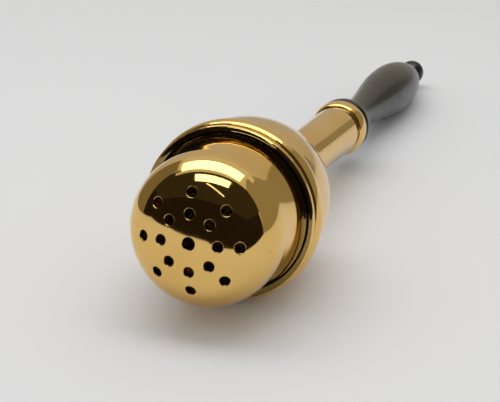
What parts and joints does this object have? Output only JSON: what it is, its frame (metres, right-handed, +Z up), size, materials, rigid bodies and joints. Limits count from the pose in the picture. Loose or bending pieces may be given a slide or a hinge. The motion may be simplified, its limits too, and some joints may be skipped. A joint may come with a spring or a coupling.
{
  "type": "holy water sprinkler",
  "caption": "Hand-held holy water sprinkler: perforated domed cap that screws onto an egg-shaped bowl, on a slim socket tube and a turned handle with a button finial.",
  "frame": {"origin": "on the floor, below the middle of the object's box", "axes": "+Z up; +Y along the object from the perforated cap towards the handle's finial; +X to the right of someone who looks along +Y"},
  "size_m": [0.045, 0.2374, 0.0448],
  "materials": {
    "polished_brass": "mirror polished and lacquered",
    "turned_brass": "as turned, fine tool marks",
    "stud_steel": "plain zinc-plated",
    "blackened_wood": "ebonised and gloss polished",
    "washer_leather": "oiled",
    "sponge": "open-pored cellulose sponge"
  },
  "bodies": {
    "holder": {"bowl_flange_ring": "polished_brass", "rear_bowl": "polished_brass", "sponge": "sponge", "neck_boss": "turned_brass", "socket_tube": "polished_brass", "ferrule_ring": "polished_brass", "stud_washer": "stud_steel", "stud_nut": "stud_steel", "handle_stud": "stud_steel", "wood_handle": "blackened_wood"},
    "seal": {"seal_washer": "washer_leather"},
    "cap": {"sprinkler_cap": "polished_brass", "cap_thread_ring": "turned_brass"}
  },
  "joints": [
    {"name": "cap_draw", "type": "slide", "parent": "holder", "child": "seal", "axis": [0, -0.9967, 0.0806], "range_m": [0, 0.0076]},
    {"name": "cap_turn", "type": "hinge", "parent": "seal", "child": "cap", "pos_m": [0, -0.09247, 0.02273], "axis": [0, -0.9967, 0.0806], "range_deg": [0, 1080]}
  ],
  "couplings": [
    {"joint": "cap_draw", "follows": "cap_turn", "m_per_rad": 0.00039789}
  ]
}
